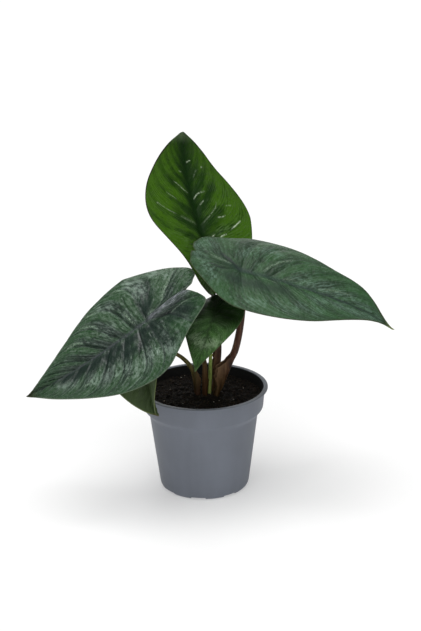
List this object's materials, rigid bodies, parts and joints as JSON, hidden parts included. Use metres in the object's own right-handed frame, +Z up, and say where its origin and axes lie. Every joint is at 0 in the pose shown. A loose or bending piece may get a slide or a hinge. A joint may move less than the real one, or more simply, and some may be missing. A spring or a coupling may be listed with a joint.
{
  "type": "potted alocasia",
  "caption": "Potted alocasia scalprum: large quilted arrow-shaped leaves on sheathed petioles, rising from peat in a round grey nursery pot with a straight collar.",
  "frame": {"origin": "middle of the pot's flat underside, on the surface the pot stands on", "axes": "+Z up along the pot's axis, +X towards the tip of the widest leaf, on the right as the plant is seen from its front, and -Y towards the front, where the smallest leaf hangs"},
  "size_m": [0.3327, 0.2001, 0.3205],
  "materials": {
    "pot_plastic": "matte",
    "peat": "matte",
    "rootstock_bark": "matte",
    "petiole_brown": "satin",
    "petiole_red_brown": "satin",
    "petiole_pale_green": "satin",
    "petiole_olive": "satin",
    "leaf_blue_green": "satin",
    "leaf_grey_green": "matte",
    "leaf_bright_green": "satin",
    "leaf_mid_green": "satin",
    "leaf_olive_green": "satin"
  },
  "bodies": {
    "root": {"pot": "pot_plastic", "soil": "peat", "rootstock": "rootstock_bark", "petiole_left": "petiole_brown", "petiole_right": "petiole_brown", "petiole_top": "petiole_red_brown", "petiole_front": "petiole_pale_green", "petiole_low": "petiole_olive", "blade_left": "leaf_blue_green", "blade_right": "leaf_grey_green", "blade_top": "leaf_bright_green", "blade_front": "leaf_mid_green", "blade_low": "leaf_olive_green"}
  },
  "joints": []
}
